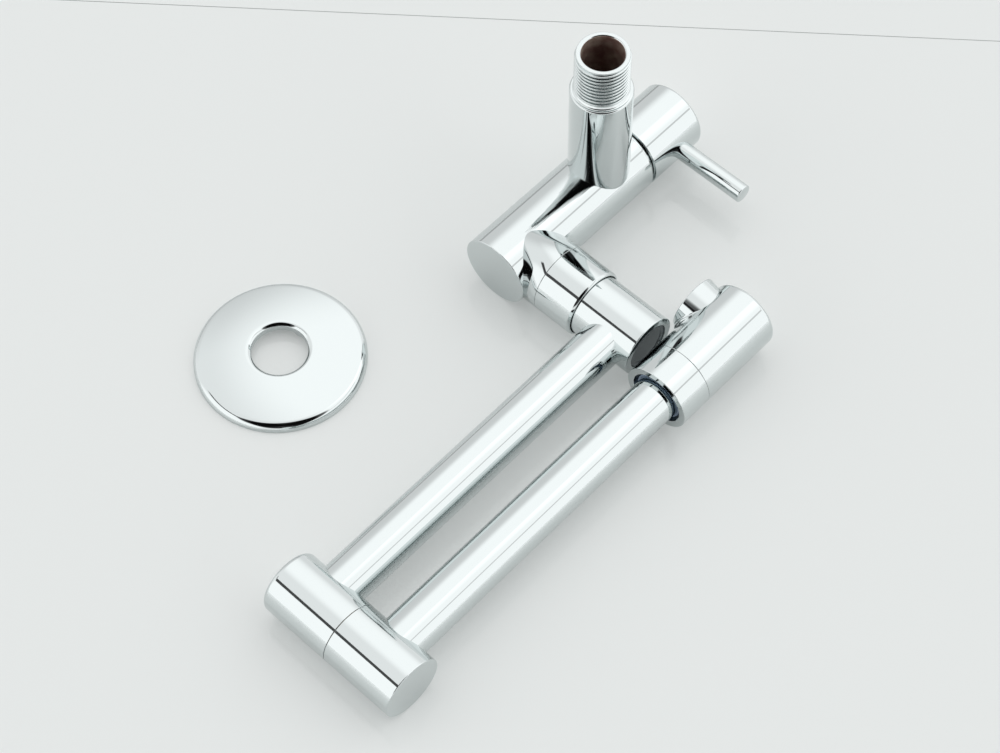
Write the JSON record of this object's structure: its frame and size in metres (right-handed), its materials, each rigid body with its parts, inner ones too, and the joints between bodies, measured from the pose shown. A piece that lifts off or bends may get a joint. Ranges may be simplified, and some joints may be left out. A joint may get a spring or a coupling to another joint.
{
  "type": "wall-mounted kitchen faucet",
  "caption": "Wall-mounted folding kitchen faucet in polished chrome: horizontal valve body with side lever, double-jointed tube arms, turning spout and loose domed wall flange.",
  "frame": {"origin": "on the axis of the inlet, in the plane of the shoulder where the thread begins; the part lies on a table 71.5 mm below it, as in the picture", "axes": "+Z along the inlet, out of its thread, which is towards the wall in use; +X along the valve body towards the handle and along the folded arms towards the spout; the neck, the arms and the lever lie on the -Y side, which is up in use"},
  "size_m": [0.2583, 0.168, 0.0915],
  "materials": {
    "chrome": "polished chrome plating on brass",
    "brass": "turned, bare",
    "rubber": "smooth black",
    "bush_plastic": "blue-grey, satin",
    "aerator_plastic": "pale, satin",
    "ceramic": "lapped ceramic"
  },
  "bodies": {
    "valve": {"valve_body": "chrome", "inlet_shank": "chrome", "neck_branch": "chrome", "swivel_nut": "chrome", "cartridge_body": "brass", "cartridge_nut": "chrome", "cartridge_oring": "rubber", "seat_seal": "rubber", "fixed_disc": "ceramic"},
    "handle": {"handle_cap": "chrome", "lever_rod": "chrome", "lever_stud": "brass", "spindle": "brass", "spindle_oring": "rubber", "moving_disc": "ceramic"},
    "arm_1": {"swivel_post": "chrome", "post_orings": "rubber", "split_ring": "brass", "slip_washer": "bush_plastic", "post_plug": "chrome", "arm_1_tube": "chrome", "knuckle_a": "chrome", "knuckle_clip": "brass"},
    "arm_2": {"knuckle_b": "chrome", "knuckle_spindle": "brass", "knuckle_orings": "rubber", "arm_2_tube": "chrome", "tube_ring": "brass"},
    "spout": {"spout_nut": "chrome", "spout_bush": "bush_plastic", "spout_head": "chrome", "spout_orings": "rubber", "aerator_housing": "chrome", "aerator_insert": "aerator_plastic", "aerator_washer": "rubber"},
    "flange": {"wall_flange": "chrome"}
  },
  "joints": [
    {"name": "handle_turn", "type": "hinge", "parent": "valve", "child": "handle", "pos_m": [0.0311, 0, -0.057], "axis": [1, 0, 0], "range_deg": [0, 90]},
    {"name": "arm_swivel", "type": "hinge", "parent": "valve", "child": "arm_1", "pos_m": [-0.0437, -0.036, -0.057], "axis": [0, 1, 0], "range_deg": [-165, 165]},
    {"name": "knuckle_swivel", "type": "hinge", "parent": "arm_1", "child": "arm_2", "pos_m": [-0.20129, -0.066, -0.059], "axis": [0, -1, 0], "continuous": true},
    {"name": "spout_swivel", "type": "hinge", "parent": "arm_2", "child": "spout", "pos_m": [-0.04129, -0.081, -0.0576], "axis": [1, 0, 0.0087], "continuous": true},
    {"name": "flange_lift", "type": "slide", "parent": "valve", "child": "flange", "axis": [0, 0, 1], "range_m": [0, 0.06]}
  ]
}
